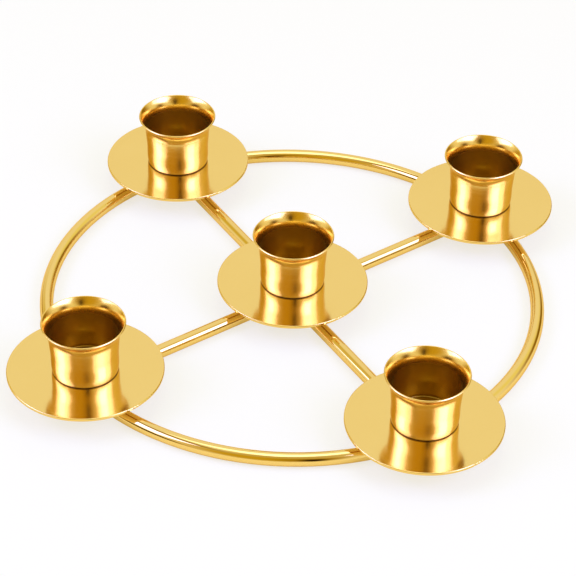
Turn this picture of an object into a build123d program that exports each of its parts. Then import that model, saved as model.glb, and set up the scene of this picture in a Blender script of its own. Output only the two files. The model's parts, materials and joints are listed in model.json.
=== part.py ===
from build123d import *
from build123d.topology import SkipClean
from collections import namedtuple
from math import asin, cos, degrees, radians, sin, sqrt
import os

# Advent candle holder: a ring of round rod on the table, a cross of rods inside it, and five
# stations, one on the crossing and four on the ring. Each station is a drip plate and a flared
# candle cup, held by one screw that goes down through both into a nut welded on the rods.
# Millimetres, +Z up. The origin is the ring's centre on the table, and the long bar lies along X.

# Rod frame
ROD_DIAMETER = 5.2
RING_RADIUS = 94.8          # centre line of the ring
STATION_INSET = 1.4         # station axis, inwards from the ring's centre line
HALF_BAR_ANGLE = 85.6       # degrees from the long bar's right end round to the back half bar
HALF_BAR_STAGGER = 2.6      # along the long bar, between the points where the half bars meet it
FIT_UP_GAP = 0.1            # between a coped bar end and the rod that it meets
BAR_TRIM_SHARE = 0.55       # of the rod's radius: coped ends stop this far short of the rod's axis
FILLET_SIZE_SHARE = 1.32    # of the rod's radius: ball of filler metal at each joint
FILLET_PLACE_SHARE = 0.95   # of the rod's radius: ball's centre, back from the axis that a bar meets
FILLET_TRIM = 0.4           # filler ground away this far above the table and below the nuts' seats

# Nuts and screws
SCREW_DIAMETER = 5.0
SCREW_TIP_GAP = 0.4         # from the screw's end down to the rod under it
THREAD_CLEARANCE = 0.08     # radial, between the plain shank and the nut's plain bore
HOLE_CLEARANCE = 0.25       # radial, around the shank in plate and cup
NUT_WIDTH = 8.0             # across flats
NUT_HEIGHT = 4.0
NUT_CHAMFER = 0.45
NUT_SEAT_DEPTH = 0.25       # flat cut into the tops of the rods
NUT_SEAT_MARGIN = 0.5       # flat's edge beyond the nut's corners
HEAD_DIAMETER = 9.5
HEAD_HEIGHT = 2.75
HEAD_RIM_HEIGHT = 0.6       # straight edge under the head's dome
HEAD_TOP_DIAMETER = 4.6     # flat on the dome, round the socket
DOME_PLACE_SHARE = 0.82     # of the head's radius: a point on the dome between its edges
DOME_RISE_SHARE = 0.7       # of the head's height: the same point
SOCKET_WIDTH = 3.0          # hexagon socket, across flats
SOCKET_DEPTH = 1.5
TIP_CHAMFER = 0.6

# Drip plates
PLATE_DIAMETER = 58.0
PLATE_THICKNESS = 1.2
PLATE_EDGE_SHARE = 0.3      # of the thickness: rounding of the plate's edges

# Candle cups, drawn from sheet. The candle seats in a straight stretch just above the screw's
# head. Above it the wall widens as a slim cone, and the top opens in a trumpet flare.
CANDLE_DIAMETER = 22.0
CANDLE_CLEARANCE = 0.8      # radial
CUP_WALL = 0.7
CUP_EDGE_RADIUS = 0.5       # outside, between floor and wall
CUP_CORNER_RADIUS = 0.4     # inside, between floor and wall
CUP_FOOT_RADIUS = 20.0      # outside, from the corner up to the straight stretch
CUP_SEAT_MARGIN = 0.25      # from the screw's head up to the straight stretch
CUP_SEAT_LENGTH = 3.0       # straight stretch that holds the candle
CUP_SWEEP_RADIUS = 30.0     # outside, from the straight stretch into the cone
CUP_CONE_ANGLE = 4.5        # degrees that the cone leans outwards
CUP_CONE_LENGTH = 6.6       # along the cone's wall
CUP_FLARE_RADIUS = 8.4      # outside
CUP_FLARE_ANGLE = 46.0      # degrees that the flare leans outwards at the rim
CUP_RIM_SHARE = 0.4         # of the wall: rounding of the rim's two edges

# One overrun serves all the cuts
OVERRUN = 1.0

ROD_RADIUS = ROD_DIAMETER / 2
BAR_TRIM = ROD_RADIUS * BAR_TRIM_SHARE
SCREW_RADIUS = SCREW_DIAMETER / 2
SCREW_LENGTH = CUP_WALL + PLATE_THICKNESS + NUT_HEIGHT - SCREW_TIP_GAP
HOLE_RADIUS = SCREW_RADIUS + HOLE_CLEARANCE
NUT_CORNER_RADIUS = NUT_WIDTH / 2 / cos(radians(30))
SEAT_Z = ROD_DIAMETER - NUT_SEAT_DEPTH
PLATE_Z = SEAT_Z + NUT_HEIGHT
CUP_Z = PLATE_Z + PLATE_THICKNESS
HEAD_Z = CUP_Z + CUP_WALL
CUP_SEAT_RADIUS = CANDLE_DIAMETER / 2 + CANDLE_CLEARANCE
CUP_RADIUS = CUP_SEAT_RADIUS + CUP_WALL

Arm = namedtuple("Arm", "start direction run")


def make_arm(side, turn, stagger):
    """A line of the cross: its start on the long bar's axis, its direction, and its run to the ring."""
    start = Vector(side * stagger / 2, 0)
    direction = Vector(cos(radians(turn)), sin(radians(turn))) * side
    along = start.dot(direction)
    run = sqrt(along ** 2 + RING_RADIUS ** 2 - start.dot(start)) - along
    return Arm(start, direction, run)


ARMS = {
    "right": make_arm(1, 0, 0),
    "left": make_arm(-1, 0, 0),
    "back": make_arm(1, HALF_BAR_ANGLE, HALF_BAR_STAGGER),
    "front": make_arm(-1, HALF_BAR_ANGLE, HALF_BAR_STAGGER),
}
STATIONS = {"centre": Vector(0, 0)}
for arm_name, arm in ARMS.items():
    STATIONS[arm_name] = arm.start + arm.direction * (arm.run - STATION_INSET)


def rod(start, end, radius):
    """A round rod lying on the table between two points, at the height of the frame's rods."""
    run = end - start
    bar = Cylinder(radius, run.length, align=(Align.CENTER, Align.CENTER, Align.MIN))
    return Plane((start.X, start.Y, ROD_RADIUS), z_dir=run) * bar


def ring_rod(radius):
    """The ring's rod without its flats, or a fatter one, to cut with."""
    return Pos(0, 0, ROD_RADIUS) * Torus(RING_RADIUS, radius)


def long_rod(radius):
    """The long bar's rod before its ends are coped, or a fatter one to cut with."""
    reach = RING_RADIUS - BAR_TRIM
    return rod(Vector(-reach, 0), Vector(reach, 0), radius)


def nut_seats():
    """Cutters for the flats that the nuts stand on."""
    radius = NUT_CORNER_RADIUS + NUT_SEAT_MARGIN
    height = NUT_SEAT_DEPTH + OVERRUN
    cutter = Cylinder(radius, height, align=(Align.CENTER, Align.CENTER, Align.MIN))
    return [Pos(place.X, place.Y, SEAT_Z) * cutter for place in STATIONS.values()]


def make_ring():
    """The ring, cut as two halves and joined midway between stations, its halves' faces kept apart."""
    section = Plane.XZ * Pos(RING_RADIUS, ROD_RADIUS) * Circle(ROD_RADIUS)
    half = Rot(0, 0, HALF_BAR_ANGLE / 2) * revolve(section, Axis.Z, revolution_arc=180)
    with SkipClean():
        return (half - nut_seats()) + (Rot(0, 0, 180) * half - nut_seats())


def make_long_bar():
    """The bar from one side of the ring to the other, coped round the ring at both ends."""
    return long_rod(ROD_RADIUS) - ring_rod(ROD_RADIUS + FIT_UP_GAP) - nut_seats()


def make_half_bar(arm):
    """A bar from the long bar's side out to the ring, coped at both ends."""
    inner = arm.start + arm.direction * BAR_TRIM
    outer = arm.start + arm.direction * (arm.run - BAR_TRIM)
    bar = rod(inner, outer, ROD_RADIUS)
    return bar - long_rod(ROD_RADIUS + FIT_UP_GAP) - ring_rod(ROD_RADIUS + FIT_UP_GAP) - nut_seats()


def make_fillets(joint, direction, met_rod):
    """Filler metal in the two corners where a bar meets a rod. joint is where their axes cross."""
    ball_radius = ROD_RADIUS * FILLET_SIZE_SHARE
    ball_place = joint - direction * (ROD_RADIUS * FILLET_PLACE_SHARE)
    ball = Pos(ball_place.X, ball_place.Y, ROD_RADIUS) * Sphere(ball_radius)
    height = SEAT_Z - 2 * FILLET_TRIM
    slab = Pos(ball_place.X, ball_place.Y, FILLET_TRIM) * Box(
        2 * ball_radius + OVERRUN, 2 * ball_radius + OVERRUN, height,
        align=(Align.CENTER, Align.CENTER, Align.MIN),
    )
    bar = rod(joint - direction * (2 * ball_radius + OVERRUN), joint, ROD_RADIUS)
    return (ball & slab) - bar - met_rod


def make_nut():
    """A hexagon weld nut with its seat at z = 0, chamfered on top, its thread left as a plain bore."""
    flats = extrude(RegularPolygon(NUT_WIDTH / 2, 6, major_radius=False), NUT_HEIGHT)
    core = Cylinder(NUT_CORNER_RADIUS, NUT_HEIGHT, align=(Align.CENTER, Align.CENTER, Align.MIN))
    core = chamfer(core.edges().sort_by(Axis.Z)[-1], NUT_CHAMFER)
    bore = Cylinder(SCREW_RADIUS + THREAD_CLEARANCE, 2 * NUT_HEIGHT + OVERRUN)
    return (flats & core) - bore


def make_plate():
    """A flat round drip plate with its underside at z = 0."""
    disc = Cylinder(PLATE_DIAMETER / 2, PLATE_THICKNESS, align=(Align.CENTER, Align.CENTER, Align.MIN))
    disc = fillet(disc.edges().filter_by(GeomType.CIRCLE), PLATE_THICKNESS * PLATE_EDGE_SHARE)
    return disc - Cylinder(HOLE_RADIUS, 2 * PLATE_THICKNESS + OVERRUN)


def wall_line(inset, corner_radius):
    """The cup wall's outline from the axis out to the rim, at a depth into the sheet from outside."""
    lean = radians(CUP_CONE_ANGLE)
    seat_bottom = CUP_WALL + HEAD_HEIGHT + CUP_SEAT_MARGIN
    seat_top = seat_bottom + CUP_SEAT_LENGTH
    corner_rise = inset + corner_radius
    foot_centre = (CUP_RADIUS - CUP_FOOT_RADIUS, seat_bottom)
    foot_reach = CUP_FOOT_RADIUS - corner_rise
    foot_lean = asin((seat_bottom - corner_rise) / foot_reach)
    foot_turn = degrees(foot_lean)
    corner_centre = (foot_centre[0] + foot_reach * cos(foot_lean), corner_rise)
    sweep_centre = (CUP_RADIUS + CUP_SWEEP_RADIUS, seat_top)
    sweep_past_flare = CUP_SWEEP_RADIUS - CUP_FLARE_RADIUS
    flare_centre = (
        sweep_centre[0] - sweep_past_flare * cos(lean) + CUP_CONE_LENGTH * sin(lean),
        sweep_centre[1] + sweep_past_flare * sin(lean) + CUP_CONE_LENGTH * cos(lean),
    )

    corner = CenterArc(corner_centre, corner_radius, -90, 90 - foot_turn)
    foot_arc = CenterArc(foot_centre, CUP_FOOT_RADIUS - inset, -foot_turn, foot_turn)
    sweep_arc = CenterArc(sweep_centre, CUP_SWEEP_RADIUS + inset, 180, -CUP_CONE_ANGLE)
    flare_turn = CUP_CONE_ANGLE - CUP_FLARE_ANGLE
    flare_arc = CenterArc(flare_centre, CUP_FLARE_RADIUS + inset, 180 - CUP_CONE_ANGLE, flare_turn)
    floor = Line((0, inset), corner @ 0)
    seat = Line(foot_arc @ 1, sweep_arc @ 0)
    cone = Line(sweep_arc @ 1, flare_arc @ 0)
    return [floor, corner, foot_arc, seat, sweep_arc, cone, flare_arc]


def make_cup():
    """A flared candle cup of sheet with its floor on z = 0 and a hole for the screw."""
    outside = wall_line(0, CUP_EDGE_RADIUS)
    inside = wall_line(CUP_WALL, CUP_CORNER_RADIUS)
    axis = Line(inside[0] @ 0, outside[0] @ 0)
    rim = Line(outside[-1] @ 1, inside[-1] @ 1)
    section = make_face(outside + [rim] + inside + [axis])
    rim_corners = section.vertices().sort_by_distance(rim @ 0.5)[:2]
    section = fillet(rim_corners, CUP_WALL * CUP_RIM_SHARE)
    cup = revolve(Plane.XZ * section, Axis.Z)
    return cup - Cylinder(HOLE_RADIUS, 2 * CUP_WALL + OVERRUN)


def make_screw():
    """A button-head screw with the underside of its head at z = 0, its thread left as a plain shank."""
    dome = ThreePointArc(
        (HEAD_DIAMETER / 2, HEAD_RIM_HEIGHT),
        (HEAD_DIAMETER / 2 * DOME_PLACE_SHARE, HEAD_HEIGHT * DOME_RISE_SHARE),
        (HEAD_TOP_DIAMETER / 2, HEAD_HEIGHT),
    )
    outline = [
        Line((0, 0), (HEAD_DIAMETER / 2, 0)),
        Line((HEAD_DIAMETER / 2, 0), dome @ 0),
        dome,
        Line(dome @ 1, (0, HEAD_HEIGHT)),
        Line((0, HEAD_HEIGHT), (0, 0)),
    ]
    head = revolve(Plane.XZ * make_face(outline), Axis.Z)
    shank = Cylinder(SCREW_RADIUS, SCREW_LENGTH, align=(Align.CENTER, Align.CENTER, Align.MAX))
    shank = chamfer(shank.edges().sort_by(Axis.Z)[0], TIP_CHAMFER)
    socket = Pos(0, 0, HEAD_HEIGHT - SOCKET_DEPTH) * extrude(
        RegularPolygon(SOCKET_WIDTH / 2, 6, major_radius=False), SOCKET_DEPTH + OVERRUN
    )
    return head + shank - socket


def build_parts():
    """Every piece of the holder by name, in place."""
    parts = {"ring": make_ring(), "long_bar": make_long_bar()}
    for name in ("back", "front"):
        arm = ARMS[name]
        parts["half_bar_" + name] = make_half_bar(arm)
        parts["cross_fillets_" + name] = make_fillets(arm.start, -arm.direction, long_rod(ROD_RADIUS))
    for name, arm in ARMS.items():
        joint = arm.start + arm.direction * arm.run
        parts["ring_fillets_" + name] = make_fillets(joint, arm.direction, ring_rod(ROD_RADIUS))

    nut, plate, cup, screw = make_nut(), make_plate(), make_cup(), make_screw()
    for name, place in STATIONS.items():
        parts["weld_nut_" + name] = Pos(place.X, place.Y, SEAT_Z) * nut
        parts["drip_plate_" + name] = Pos(place.X, place.Y, PLATE_Z) * plate
        parts["candle_cup_" + name] = Pos(place.X, place.Y, CUP_Z) * cup
        parts["cup_screw_" + name] = Pos(place.X, place.Y, HEAD_Z) * screw
    return parts


os.makedirs("parts", exist_ok=True)
for part_name, part_shape in build_parts().items():
    export_step(part_shape, "parts/" + part_name + ".step")
    print(part_name, len(part_shape.solids()), round(part_shape.volume, 1))
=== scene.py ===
import json
import math
from collections import namedtuple

import bpy
from mathutils import Matrix, Vector


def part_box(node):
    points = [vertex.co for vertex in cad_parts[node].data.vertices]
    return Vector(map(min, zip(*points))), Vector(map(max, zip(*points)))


# The advent candle holder's looks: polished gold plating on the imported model's own pieces, white
# softboxes in a warm studio, and a camera where the photograph was taken from.
# Metres, +Z up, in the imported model's frame.

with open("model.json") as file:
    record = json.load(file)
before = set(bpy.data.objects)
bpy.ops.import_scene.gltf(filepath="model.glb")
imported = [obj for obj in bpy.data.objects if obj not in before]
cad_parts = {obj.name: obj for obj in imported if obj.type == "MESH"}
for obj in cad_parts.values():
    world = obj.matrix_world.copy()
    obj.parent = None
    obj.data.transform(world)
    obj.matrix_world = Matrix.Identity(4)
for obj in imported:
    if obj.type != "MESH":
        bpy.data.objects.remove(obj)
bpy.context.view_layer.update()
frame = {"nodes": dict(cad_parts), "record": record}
nodes = frame["nodes"]

# Camera
CAMERA_AZIMUTH = -36.27         # degrees, 0 looks along +Y
CAMERA_ELEVATION = 37.898
CAMERA_ROLL = 1.1595
CAMERA_DISTANCE = 0.8883
CAMERA_RIGHT = -0.00157         # sideways from the line through the ring's centre
CAMERA_UP = 0.00468
CAMERA_LENS = 142.97            # millimetres, like the sensor
SENSOR_WIDTH = 36.0
CLIP_NEAR = 0.05
CLIP_FAR = 20.0

# Studio. Directions are degrees to the right of the camera's side, and above the horizon
AWAY_AZIMUTH = 180
PANEL_DISTANCE = 1.2
OVERHEAD_HEIGHT = 1.3
OVERHEAD_BACK = 0.22            # from straight above, away from the camera's side
OVERHEAD_SIZE = 0.7
OVERHEAD_LEVEL = 1.35
OVERHEAD_TINT = (0.85, 0.92, 1.0)
ROOM_COLOUR = (0.985, 0.93, 0.70, 1.0)
SHADE_COLOUR = (0.72, 0.64, 0.30, 1.0)      # what the room adds to the paper's light
WHITE = (1.0, 1.0, 1.0, 1.0)
PAPER_WHITE = (1.0, 0.98, 0.94, 1.0)        # the paper's own glow, white together with its matt part
PAPER_MATT = (0.90, 0.98, 0.91, 1.0)        # the part of the paper that takes shadows
PAPER_CREAM = (1.0, 0.93, 0.50, 1.0)        # both as the metal mirrors them, in the room's warm light
PAPER_GLOW_SHARE = 0.72                     # of the glow in what the camera sees
MIRRORED_GLOW_SHARE = 0.35                  # and in what the metal mirrors
FLOOR_HALF_WIDTH = 4.0
FLOOR_DROP = 0.0002                         # under the rods, so that they don't share a surface

# Panels of light: name, azimuth, elevation, half width, half height (degrees), level (1 is white), tint
Panel = namedtuple("Panel", "name azimuth elevation half_width half_height level tint")
SOFTBOX_TINT = (0.38, 0.38, 1.0)
CORE_TINT = (0.28, 0.31, 1.0)               # the lamp itself, cooler than its cloth
PANELS = [
    Panel("softbox_left", -79, 42, 22, 14, 4.0, SOFTBOX_TINT),
    Panel("softbox_left_core", -80, 40, 10, 8, 6.5, CORE_TINT),
    Panel("softbox_right", 64, 42, 24, 14, 4.0, SOFTBOX_TINT),
    Panel("softbox_right_core", 58, 40, 11, 8, 6.5, CORE_TINT),
]

# What the metal mirrors besides the panels: azimuth, elevation, half width and half height in
# degrees, colour, and how soft the patch's edge is (1 is soft all the way to its middle).
# Later patches lie over earlier ones
Patch = namedtuple("Patch", "azimuth elevation half_width half_height colour softness")
PATCH_DEPTH = 0.6               # a patch's reach along its direction, in a room of radius 1
ROOM_PATCHES = [
    Patch(-10, 32, 60, 60, (0.64, 0.42, 0.02), 0.7),
    Patch(2, 68, 40, 20, (0.60, 0.47, 0.14), 0.8),
    Patch(-132, 36, 32, 30, (0.72, 0.55, 0.06), 0.8),
    Patch(-125, 8, 30, 16, (0.55, 0.36, 0.03), 0.8),
    Patch(130, 38, 32, 26, (0.95, 0.88, 0.35), 0.8),
    Patch(130, 12, 40, 26, (0.42, 0.25, 0.01), 0.8),
    Patch(132, 14, 20, 16, (0.26, 0.15, 0.0), 0.9),
    Patch(-86, 63, 45, 10, (0.42, 0.29, 0.05), 0.6),
    Patch(70, 64, 50, 10, (0.72, 0.56, 0.22), 0.8),
    Patch(-60, 6, 36, 20, (0.55, 0.34, 0.03), 0.7),
    Patch(-58, 9, 18, 11, (0.05, 0.02, 0.0), 0.6),
    Patch(62, 10, 22, 15, (0.35, 0.20, 0.01), 0.8),
    Patch(61, 10, 9, 8, (0.06, 0.03, 0.0), 0.6),
    Patch(9, 28, 20, 36, (0.40, 0.24, 0.01), 0.8),
    Patch(10, 22, 8, 25, (0.02, 0.008, 0.0), 0.8),
]

# Gold plating
GOLD_PALE = (0.885, 0.67, 0.275, 1.0)
GOLD_DEEP = (0.855, 0.63, 0.24, 1.0)
GOLD_EDGE = (0.86, 0.66, 0.42, 1.0)         # tints reflections at grazing angles
GOLD_INSIDE_SHADE = (0.66, 0.45, 0.05, 1.0)         # inside the cups: painted shade, a darker gold standing in for the shade deep in the cup
GOLD_CUP_FLOOR_SHADE = (0.34, 0.21, 0.02, 1.0)          # and painted shade on their floors, darker still
CUP_FLOOR_SHADE_BELOW_SHARE = 0.05                      # of a cup's height: the floor's painted shade in full below this
CUP_FLOOR_SHADE_ABOVE_SHARE = 0.10                     # and none of it above this, only the inside's painted shade
SHADE_AND_DULL_BELOW_SHARE = 0.71                     # inside: painted shade and a dull finish up to this
BRIGHT_ABOVE_SHARE = 0.81                   # and polished, without painted shade, above this
DULL_ROUGHNESS = 0.32
GOLD_FLARE = (0.86, 0.60, 0.165, 1.0)       # on the inside of the cups' flare
FLARE_ROUGHNESS = 0.18
FACING_AWAY = 0.40                          # cosines to the way out from a cup's axis: outside above this
FACING_INWARDS = 0.10                       # and inside below this
SEAM_PAINTED_SHADE = (0.10, 0.05, 0.006, 1.0)       # painted shade in the seam between cup and plate
SEAM_HEIGHT = 0.0009                        # above the plate
CLOUD_SCALE = 45.0                          # per metre: slow changes of tone
CLOUD_DETAIL = 4.0
GRAIN_DETAIL = 3.0                          # in the tool marks
NOISE_ROUGHNESS = 0.6
GRAIN_LOW, GRAIN_HIGH = 0.25, 0.75          # where nearly all of the grain's noise lies
LACQUER_WEIGHT = 0.35
LACQUER_ROUGHNESS = 0.03

# Finish per material slot: roughness and its spread, the width and depth of the marks that the
# tools left, and how far the marks run along the work for each width
Finish = namedtuple("Finish", "roughness spread mark_width mark_depth mark_run")
FINISH = {
    "rod_gold": Finish(0.040, 0.015, 0.00035, 0.4e-6, 60.0),
    "plate_gold": Finish(0.110, 0.025, 0.00030, 0.7e-6, 60.0),
    "cup_gold": Finish(0.190, 0.035, 0.00030, 0.9e-6, 60.0),
    "nut_gold": Finish(0.160, 0.040, 0.00040, 1.5e-6, 1.0),
    "screw_gold": Finish(0.140, 0.040, 0.00025, 1.2e-6, 60.0),
    "filler_gold": Finish(0.200, 0.060, 0.00090, 40e-6, 1.0),
}


def camera_axes():
    """Right, up and back of the photograph's camera, before its roll."""
    turn = math.radians(CAMERA_AZIMUTH)
    rise = math.radians(CAMERA_ELEVATION)
    back = Vector((math.sin(turn) * math.cos(rise), -math.cos(turn) * math.cos(rise), math.sin(rise)))
    right = Vector((math.cos(turn), math.sin(turn), 0.0))
    return right, back.cross(right), back


def make_camera():
    right, up, back = camera_axes()
    roll = math.radians(CAMERA_ROLL)
    rolled_right = right * math.cos(roll) + up * math.sin(roll)
    rolled_up = up * math.cos(roll) - right * math.sin(roll)
    place = back * CAMERA_DISTANCE + rolled_right * CAMERA_RIGHT + rolled_up * CAMERA_UP
    data = bpy.data.cameras.new("camera")
    data.sensor_width = SENSOR_WIDTH
    data.lens = CAMERA_LENS
    data.clip_start = CLIP_NEAR
    data.clip_end = CLIP_FAR
    camera = bpy.data.objects.new("camera", data)
    axes = Matrix((rolled_right, rolled_up, back)).transposed().to_4x4()
    camera.matrix_world = Matrix.Translation(place) @ axes
    bpy.context.scene.collection.objects.link(camera)
    bpy.context.scene.camera = camera


def studio_direction(azimuth, elevation):
    """A direction of the studio, from degrees to the right of the camera's side and above the horizon."""
    right, _, back = camera_axes()
    front = Vector((back.x, back.y, 0.0)).normalized()
    turn = math.radians(azimuth)
    rise = math.radians(elevation)
    level = front * math.cos(turn) + right * math.sin(turn)
    return level * math.cos(rise) + Vector((0.0, 0.0, math.sin(rise)))


def add_node(tree, kind, values=None, **settings):
    """A new node, with settings as its properties and values on its input sockets by name or number."""
    made = tree.nodes.new(kind)
    for key, value in settings.items():
        setattr(made, key, value)
    for key, value in (values or {}).items():
        made.inputs[key].default_value = value
    return made


def mix_colours(tree, factor, first, second):
    """A mix of two colours, each a colour value or the socket that one comes from."""
    made = add_node(tree, "ShaderNodeMix", data_type="RGBA")
    tree.links.new(factor, made.inputs["Factor"])
    for number, colour in ((6, first), (7, second)):
        if isinstance(colour, tuple):
            made.inputs[number].default_value = colour
        else:
            tree.links.new(colour, made.inputs[number])
    return made.outputs[2]


def make_light(name, place, towards, width, height, level, tint):
    """A rectangle of light at a place, facing back along towards, as bright as level times white."""
    data = bpy.data.lights.new(name, "AREA")
    data.shape = "RECTANGLE"
    data.size = width
    data.size_y = height
    data.energy = level * math.pi * width * height
    data.color = tint
    light = bpy.data.objects.new(name, data)
    light.location = place
    light.rotation_mode = "QUATERNION"
    light.rotation_quaternion = (-towards).to_track_quat("-Z", "Y")
    light.visible_camera = False
    bpy.context.scene.collection.objects.link(light)


def make_lights():
    """The softboxes, sized by the angles that they fill, and a panel overhead."""
    for panel in PANELS:
        towards = studio_direction(panel.azimuth, panel.elevation)
        width = 2 * PANEL_DISTANCE * math.tan(math.radians(panel.half_width))
        height = 2 * PANEL_DISTANCE * math.tan(math.radians(panel.half_height))
        make_light(panel.name, towards * PANEL_DISTANCE, towards, width, height, panel.level, panel.tint)
    up = Vector((0.0, 0.0, 1.0))
    place = up * OVERHEAD_HEIGHT + studio_direction(AWAY_AZIMUTH, 0) * OVERHEAD_BACK
    make_light("overhead_panel", place, up, OVERHEAD_SIZE, OVERHEAD_SIZE, OVERHEAD_LEVEL, OVERHEAD_TINT)


def make_world():
    """White for the camera, and for the metal a warm room with the dimmer places that it mirrors."""
    world = bpy.data.worlds.new("studio")
    bpy.context.scene.world = world
    world.use_nodes = True
    tree = world.node_tree
    tree.nodes.clear()
    link = tree.links.new
    out = add_node(tree, "ShaderNodeOutputWorld")
    background = add_node(tree, "ShaderNodeBackground")
    link(background.outputs["Background"], out.inputs["Surface"])
    where = add_node(tree, "ShaderNodeTexCoord")

    room = ROOM_COLOUR
    for patch in ROOM_PATCHES:
        towards = studio_direction(patch.azimuth, patch.elevation)
        spin = towards.to_track_quat("Z", "Y").to_euler()
        half_width = math.sin(math.radians(patch.half_width))
        half_height = math.sin(math.radians(patch.half_height))
        local = add_node(tree, "ShaderNodeMapping", vector_type="TEXTURE",
                         values={"Location": towards, "Rotation": spin,
                                 "Scale": (half_width, half_height, PATCH_DEPTH)})
        link(where.outputs["Generated"], local.inputs["Vector"])
        ball = add_node(tree, "ShaderNodeTexGradient", gradient_type="SPHERICAL")
        link(local.outputs["Vector"], ball.inputs["Vector"])
        edge = add_node(tree, "ShaderNodeMapRange", interpolation_type="SMOOTHSTEP",
                        values={"From Min": 0.0, "From Max": patch.softness})
        link(ball.outputs["Fac"], edge.inputs["Value"])
        room = mix_colours(tree, edge.outputs["Result"], room, (*patch.colour, 1.0))

    path = add_node(tree, "ShaderNodeLightPath")
    by_metal = mix_colours(tree, path.outputs["Is Glossy Ray"], SHADE_COLOUR, room)
    by_camera = mix_colours(tree, path.outputs["Is Camera Ray"], by_metal, WHITE)
    link(by_camera, background.inputs["Color"])


def make_floor():
    """White paper under the holder, which keeps the holder's soft shadow."""
    material = bpy.data.materials.new("white_paper")
    material.use_nodes = True
    tree = material.node_tree
    tree.nodes.clear()
    link = tree.links.new
    out = add_node(tree, "ShaderNodeOutputMaterial")
    path = add_node(tree, "ShaderNodeLightPath")
    matt = add_node(tree, "ShaderNodeBsdfDiffuse")
    link(mix_colours(tree, path.outputs["Is Glossy Ray"], PAPER_MATT, PAPER_CREAM), matt.inputs["Color"])
    glow = add_node(tree, "ShaderNodeEmission")
    link(mix_colours(tree, path.outputs["Is Camera Ray"], PAPER_CREAM, PAPER_WHITE), glow.inputs["Color"])
    mirrored = add_node(tree, "ShaderNodeMath", values={1: MIRRORED_GLOW_SHARE}, operation="MULTIPLY")
    link(path.outputs["Is Glossy Ray"], mirrored.inputs[0])
    share = add_node(tree, "ShaderNodeMath", values={1: PAPER_GLOW_SHARE}, operation="MULTIPLY_ADD")
    link(path.outputs["Is Camera Ray"], share.inputs[0])
    link(mirrored.outputs["Value"], share.inputs[2])
    mix = add_node(tree, "ShaderNodeMixShader")
    link(share.outputs["Value"], mix.inputs["Fac"])
    link(matt.outputs["BSDF"], mix.inputs[1])
    link(glow.outputs["Emission"], mix.inputs[2])
    link(mix.outputs["Shader"], out.inputs["Surface"])

    mesh = bpy.data.meshes.new("floor")
    signs = ((-1, -1), (1, -1), (1, 1), (-1, 1))
    corners = [(x * FLOOR_HALF_WIDTH, y * FLOOR_HALF_WIDTH, 0.0) for x, y in signs]
    mesh.from_pydata(corners, [], [(0, 1, 2, 3)])
    floor = bpy.data.objects.new("floor", mesh)
    floor.location.z = -FLOOR_DROP
    mesh.materials.append(material)
    bpy.context.scene.collection.objects.link(floor)


def place_on_piece(tree, node_name):
    """Metres from the middle of a piece's box, the same on every piece of that kind."""
    low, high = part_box(node_name)
    size = Vector(high) - Vector(low)
    where = add_node(tree, "ShaderNodeTexCoord")
    place = add_node(tree, "ShaderNodeMapping", values={"Location": -size / 2, "Scale": size})
    tree.links.new(where.outputs["Generated"], place.inputs["Vector"])
    return place.outputs["Vector"]


def place_on_bar(tree, node_name):
    """Metres along, across and above a straight bar, from the heading that its box's ends give."""
    low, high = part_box(node_name)
    heading = math.atan2(high[1] - low[1], high[0] - low[0])
    where = add_node(tree, "ShaderNodeTexCoord")
    place = add_node(tree, "ShaderNodeMapping", values={"Rotation": (0.0, 0.0, -heading)})
    tree.links.new(where.outputs["Object"], place.inputs["Vector"])
    return place.outputs["Vector"]


def turned_marks(tree, place):
    """Coordinates for marks that run round a vertical axis: distance from it, height, and a slow third."""
    link = tree.links.new
    flat = add_node(tree, "ShaderNodeVectorMath", values={1: (1.0, 1.0, 0.0)}, operation="MULTIPLY")
    link(place, flat.inputs[0])
    distance = add_node(tree, "ShaderNodeVectorMath", operation="LENGTH")
    link(flat.outputs["Vector"], distance.inputs[0])
    parts = add_node(tree, "ShaderNodeSeparateXYZ")
    link(place, parts.inputs["Vector"])
    joined = add_node(tree, "ShaderNodeCombineXYZ")
    link(distance.outputs["Value"], joined.inputs["X"])
    link(parts.outputs["Z"], joined.inputs["Y"])
    link(parts.outputs["X"], joined.inputs["Z"])
    return joined.outputs["Vector"]


def straight_marks(tree, place):
    """Coordinates for marks along a bar: across it, height, and a slow third along it."""
    parts = add_node(tree, "ShaderNodeSeparateXYZ")
    tree.links.new(place, parts.inputs["Vector"])
    joined = add_node(tree, "ShaderNodeCombineXYZ")
    tree.links.new(parts.outputs["Y"], joined.inputs["X"])
    tree.links.new(parts.outputs["Z"], joined.inputs["Y"])
    tree.links.new(parts.outputs["X"], joined.inputs["Z"])
    return joined.outputs["Vector"]


def inward_share(tree, place):
    """1 where a cup's surface faces the cup's axis or lies flat, and 0 where it faces away."""
    link = tree.links.new
    where = add_node(tree, "ShaderNodeTexCoord")
    flat = add_node(tree, "ShaderNodeVectorMath", values={1: (1.0, 1.0, 0.0)}, operation="MULTIPLY")
    link(place, flat.inputs[0])
    outwards = add_node(tree, "ShaderNodeVectorMath", operation="NORMALIZE")
    link(flat.outputs["Vector"], outwards.inputs[0])
    facing = add_node(tree, "ShaderNodeVectorMath", operation="DOT_PRODUCT")
    link(outwards.outputs["Vector"], facing.inputs[0])
    link(where.outputs["Normal"], facing.inputs[1])
    inwards = add_node(tree, "ShaderNodeMapRange",
                       values={"From Min": FACING_AWAY, "From Max": FACING_INWARDS})
    link(facing.outputs["Value"], inwards.inputs["Value"])
    return inwards.outputs["Result"]


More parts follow.
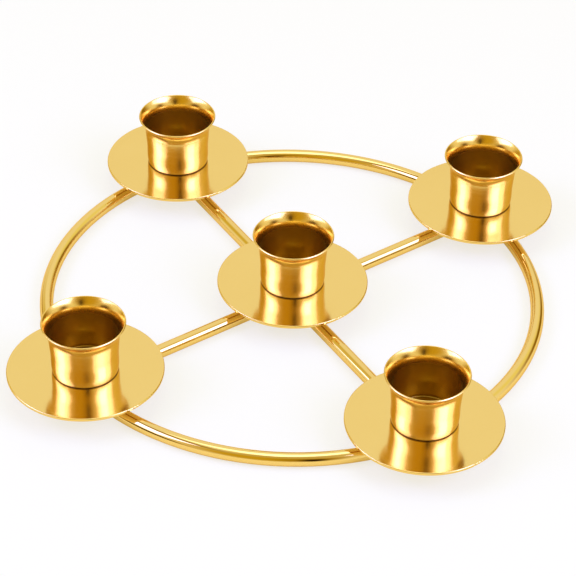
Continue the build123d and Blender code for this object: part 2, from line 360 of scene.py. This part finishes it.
def low_share(tree, inwards, above, below):
    """The inward share of a cup, fading from nothing above one share of its height to all below another."""
    where = add_node(tree, "ShaderNodeTexCoord")
    parts = add_node(tree, "ShaderNodeSeparateXYZ")
    tree.links.new(where.outputs["Generated"], parts.inputs["Vector"])
    low = add_node(tree, "ShaderNodeMapRange", interpolation_type="SMOOTHSTEP",
                   values={"From Min": above, "From Max": below})
    tree.links.new(parts.outputs["Z"], low.inputs["Value"])
    both = add_node(tree, "ShaderNodeMath", operation="MULTIPLY")
    tree.links.new(inwards, both.inputs[0])
    tree.links.new(low.outputs["Result"], both.inputs[1])
    return both.outputs["Value"]


def seam_shade_share(tree, place, node_name):
    """Where the seam's painted shade goes: 1 at the very foot of a cup, where it stands on its plate, and 0
    from a little above it.
    """
    low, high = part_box(node_name)
    foot = (low[2] - high[2]) / 2
    parts = add_node(tree, "ShaderNodeSeparateXYZ")
    tree.links.new(place, parts.inputs["Vector"])
    seam = add_node(tree, "ShaderNodeMapRange", interpolation_type="SMOOTHSTEP",
                    values={"From Min": foot + SEAM_HEIGHT, "From Max": foot})
    tree.links.new(parts.outputs["Z"], seam.inputs["Value"])
    return seam.outputs["Result"]


def make_gold(slot, node_name, kind):
    """Gold plating for one kind of piece, with tool marks that run as the piece was worked, and painted
    shade inside the cups and on the screws.
    """
    finish = FINISH[slot]
    material = bpy.data.materials.new(slot + "_" + kind)
    material.use_nodes = True
    tree = material.node_tree
    tree.nodes.clear()
    link = tree.links.new
    out = add_node(tree, "ShaderNodeOutputMaterial")
    metal = add_node(tree, "ShaderNodeBsdfPrincipled", values={
        "Metallic": 1.0, "Specular Tint": GOLD_EDGE,
        "Coat Weight": LACQUER_WEIGHT, "Coat Roughness": LACQUER_ROUGHNESS})
    link(metal.outputs["BSDF"], out.inputs["Surface"])

    where = add_node(tree, "ShaderNodeTexCoord")
    if kind == "ring":
        marks = turned_marks(tree, where.outputs["Object"])
    elif kind == "bar":
        marks = straight_marks(tree, place_on_bar(tree, node_name))
    elif kind == "cast":
        marks = where.outputs["Object"]
    else:
        place = place_on_piece(tree, node_name)
        marks = turned_marks(tree, place)

    fineness = 1.0 / finish.mark_width
    scaled = add_node(tree, "ShaderNodeMapping",
                      values={"Scale": (fineness, fineness, fineness / finish.mark_run)})
    link(marks, scaled.inputs["Vector"])
    grain = add_node(tree, "ShaderNodeTexNoise",
                     values={"Scale": 1.0, "Detail": GRAIN_DETAIL, "Roughness": NOISE_ROUGHNESS})
    link(scaled.outputs["Vector"], grain.inputs["Vector"])
    cloud = add_node(tree, "ShaderNodeTexNoise",
                     values={"Scale": CLOUD_SCALE, "Detail": CLOUD_DETAIL, "Roughness": NOISE_ROUGHNESS})
    link(where.outputs["Object"], cloud.inputs["Vector"])

    # Screws get the cups' painted shade colours, as they sit in the shade inside the cups
    deep, pale = (GOLD_CUP_FLOOR_SHADE, GOLD_INSIDE_SHADE) if kind == "screw" else (GOLD_DEEP, GOLD_PALE)
    tone = mix_colours(tree, cloud.outputs["Fac"], deep, pale)
    gloss = add_node(tree, "ShaderNodeMapRange", values={
        "From Min": GRAIN_LOW, "From Max": GRAIN_HIGH,
        "To Min": finish.roughness - finish.spread, "To Max": finish.roughness + finish.spread})
    link(grain.outputs["Fac"], gloss.inputs["Value"])
    roughness = gloss.outputs["Result"]
    # Inside a cup: painted shade, a darker gold deep inside and darker still on its floor, with a rougher
    # finish; and a painted shadow line at its foot
    if kind == "cup":
        inwards = inward_share(tree, place)
        inside = low_share(tree, inwards, BRIGHT_ABOVE_SHARE, SHADE_AND_DULL_BELOW_SHARE)
        bottom = low_share(tree, inwards, CUP_FLOOR_SHADE_ABOVE_SHARE, CUP_FLOOR_SHADE_BELOW_SHARE)
        tone = mix_colours(tree, inwards, tone, GOLD_FLARE)
        tone = mix_colours(tree, inside, tone, GOLD_INSIDE_SHADE)
        tone = mix_colours(tree, bottom, tone, GOLD_CUP_FLOOR_SHADE)
        # painted shade in the seam where the cup stands on its plate
        tone = mix_colours(tree, seam_shade_share(tree, place, node_name), tone, SEAM_PAINTED_SHADE)
        for share, dull_roughness in ((inwards, FLARE_ROUGHNESS), (inside, DULL_ROUGHNESS)):
            duller = add_node(tree, "ShaderNodeMix", values={3: dull_roughness}, data_type="FLOAT")
            link(share, duller.inputs["Factor"])
            link(roughness, duller.inputs[2])
            roughness = duller.outputs[0]
    link(tone, metal.inputs["Base Color"])
    link(roughness, metal.inputs["Roughness"])

    bump = add_node(tree, "ShaderNodeBump", values={"Strength": 1.0, "Distance": finish.mark_depth})
    link(grain.outputs["Fac"], bump.inputs["Height"])
    link(bump.outputs["Normal"], metal.inputs["Normal"])
    return material


def kind_of(node_name, slot):
    """How a piece was worked, which its tool marks follow."""
    if node_name == "ring":
        return "ring"
    if slot == "rod_gold":
        return "bar"
    if slot == "filler_gold":
        return "cast"
    return slot.replace("_gold", "")


def dress_pieces():
    """Plating on every piece: one material for each kind of piece, and one for each bar."""
    made = {}
    for row in frame["record"]["subparts"]:
        node_name = row["node"]
        slot = row["material_slot"]
        kind = kind_of(node_name, slot)
        key = node_name if kind == "bar" else kind
        if key not in made:
            made[key] = make_gold(slot, node_name, kind)
        for material_slot in nodes[node_name].material_slots:
            material_slot.material = made[key]


make_camera()
make_world()
make_floor()
make_lights()
dress_pieces()
bpy.context.scene.view_settings.view_transform = "Standard"
